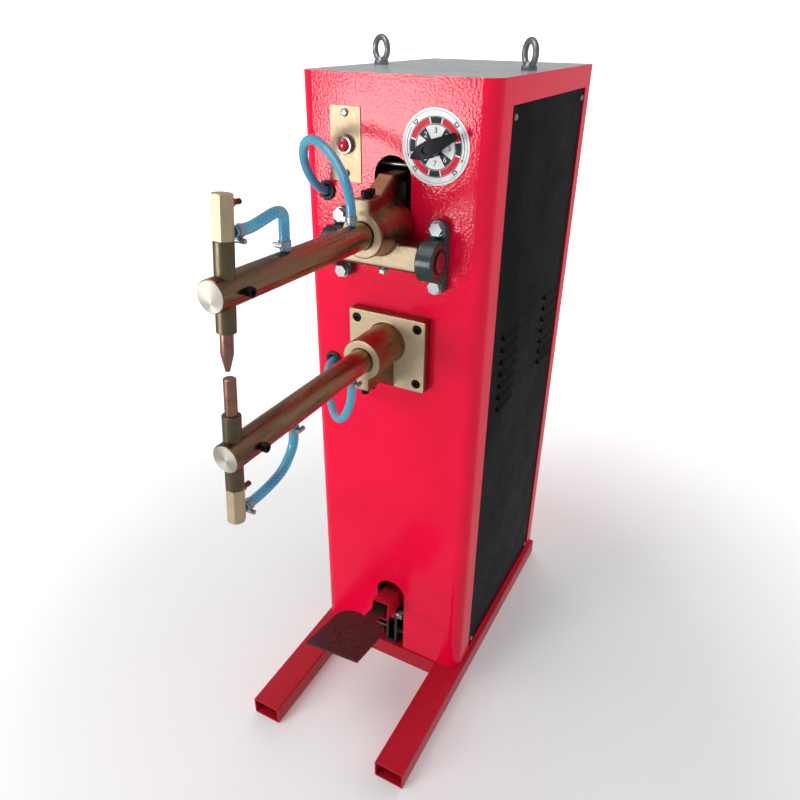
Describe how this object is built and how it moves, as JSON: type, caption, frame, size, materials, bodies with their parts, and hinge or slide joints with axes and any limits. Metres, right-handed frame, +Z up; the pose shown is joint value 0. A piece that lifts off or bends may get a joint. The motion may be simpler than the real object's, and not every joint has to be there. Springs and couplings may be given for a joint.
{
  "type": "spot welder",
  "caption": "Foot-operated pedestal spot welder: red cabinet on a welded base, fixed lower arm, rocking upper arm, tap switch and pedal.",
  "frame": {"origin": "on the floor under the cabinet's front face, midway between the two feet", "axes": "+Z up, +X to the operator's right, +Y from the operator towards the back of the cabinet; the arms reach towards -Y"},
  "size_m": [0.346, 0.9379, 1.242],
  "materials": {
    "rail_red": "gloss enamel",
    "cabinet_red": "gloss enamel, light orange peel",
    "panel_black": "gloss black enamel",
    "zinc": "zinc plated",
    "forged_grey": "forged, galvanised grey",
    "plate_brass": "dull satin",
    "chrome": "polished",
    "lens_red": "red moulded jewel",
    "dial_white": "printed scale",
    "switch_plastic": "moulded",
    "rubber_black": "matte",
    "cast_green": "dark grey-green paint",
    "bearing_steel": "ground steel and seals",
    "cast_brass": "sand cast, lightly ground",
    "polished_brass": "turned and polished",
    "holder_brass": "dull oxidised",
    "turned_brass": "turned",
    "copper": "bare copper",
    "head_brass": "pale turned brass",
    "black_screw": "black oxide",
    "lamination": "varnished laminations",
    "coil_tape": "taped copper winding",
    "shelf_steel": "mill finish",
    "shaft_steel": "ground",
    "spring_steel": "oiled",
    "hose_blue": "translucent braided PVC",
    "tread_brown": "worn dark paint on chequer plate",
    "knob_black": "bakelite"
  },
  "bodies": {
    "cabinet": {"base_rails": "rail_red", "base_crossbars": "rail_red", "front_shell": "cabinet_red", "side_frames": "cabinet_red", "side_panels": "panel_black", "stop_rod": "zinc", "back_panel": "cabinet_red", "top_cover": "cabinet_red", "cabinet_screws": "zinc", "eyebolts": "forged_grey", "lamp_plate": "plate_brass", "lamp_holder": "chrome", "lamp_lens": "lens_red", "dial_plate": "dial_white", "tap_switch": "switch_plastic", "hose_grommets": "rubber_black", "pillow_blocks": "cast_green", "bearing_inserts": "bearing_steel", "pillow_bolts": "zinc", "lower_flange": "cast_brass", "lower_cap_screws": "black_screw", "transformer_core": "lamination", "transformer_coil": "coil_tape", "secondary_turn": "copper", "inner_shelves": "rail_red", "flexible_strap": "copper", "contactor": "switch_plastic", "rear_fittings": "turned_brass", "rod_guide": "shelf_steel", "pedal_pivot": "rail_red", "trigger_switch": "switch_plastic", "lower_arm": "polished_brass", "lower_electrode_holder": "holder_brass", "lower_electrode_head": "head_brass", "lower_electrode_tip": "copper", "lower_nozzles": "turned_brass", "fixed_hose_clamps": "zinc", "lower_front_hose": "hose_blue", "lower_rear_hose": "hose_blue", "upper_rear_hose": "hose_blue", "return_spring": "spring_steel"},
    "rocker": {"rocker_casting": "cast_brass", "rocker_shaft": "shaft_steel", "rear_lever": "shelf_steel", "rocker_cap_screws": "black_screw", "shaft_lock_bolt": "zinc", "upper_arm": "polished_brass", "upper_electrode_holder": "holder_brass", "upper_electrode_head": "head_brass", "upper_electrode_tip": "copper", "upper_nozzles": "turned_brass", "upper_hose_clamps": "zinc", "upper_front_hose": "hose_blue"},
    "pedal": {"pedal_arm": "rail_red", "pedal_tread": "tread_brown"},
    "lower_rod": {"lower_rod": "shelf_steel", "pressure_spring": "spring_steel"},
    "push_rod": {"push_rod": "shaft_steel"},
    "tap_knob": {"tap_knob": "knob_black"},
    "switch_plunger": {"trigger_plunger": "zinc"}
  },
  "joints": [
    {"name": "pedal_hinge", "type": "hinge", "parent": "cabinet", "child": "pedal", "pos_m": [0, 0.018, 0.118], "axis": [1, 0, 0], "range_deg": [0, 7.6], "stiffness_Nm_per_rad": 20, "springref_deg": -22.92},
    {"name": "lower_rod_lift", "type": "slide", "parent": "cabinet", "child": "lower_rod", "axis": [0, 0, 1], "range_m": [0, 0.011], "deforming": ["return_spring"]},
    {"name": "push_rod_lag", "type": "slide", "parent": "lower_rod", "child": "push_rod", "axis": [0, 0, -1], "range_m": [0, 0.0075], "deforming": ["pressure_spring"]},
    {"name": "rocker_hinge", "type": "hinge", "parent": "cabinet", "child": "rocker", "pos_m": [0, -0.0333, 0.942], "axis": [1, 0, 0], "range_deg": [0, 1.57]},
    {"name": "plunger_slide", "type": "slide", "parent": "cabinet", "child": "switch_plunger", "axis": [0, 0, 1], "range_m": [0, 0.011]},
    {"name": "knob_turn", "type": "hinge", "parent": "cabinet", "child": "tap_knob", "pos_m": [0.073, 0, 1.101], "axis": [0, -1, 0], "range_deg": [-162, 153]}
  ],
  "couplings": [
    {"joint": "lower_rod_lift", "follows": "pedal_hinge", "m_per_rad": 0.082},
    {"joint": "push_rod_lag", "follows": "pedal_hinge", "m_per_rad": 0.054642},
    {"joint": "rocker_hinge", "follows": "pedal_hinge", "ratio": 0.20526},
    {"joint": "plunger_slide", "follows": "pedal_hinge", "m_per_rad": 0.082}
  ]
}
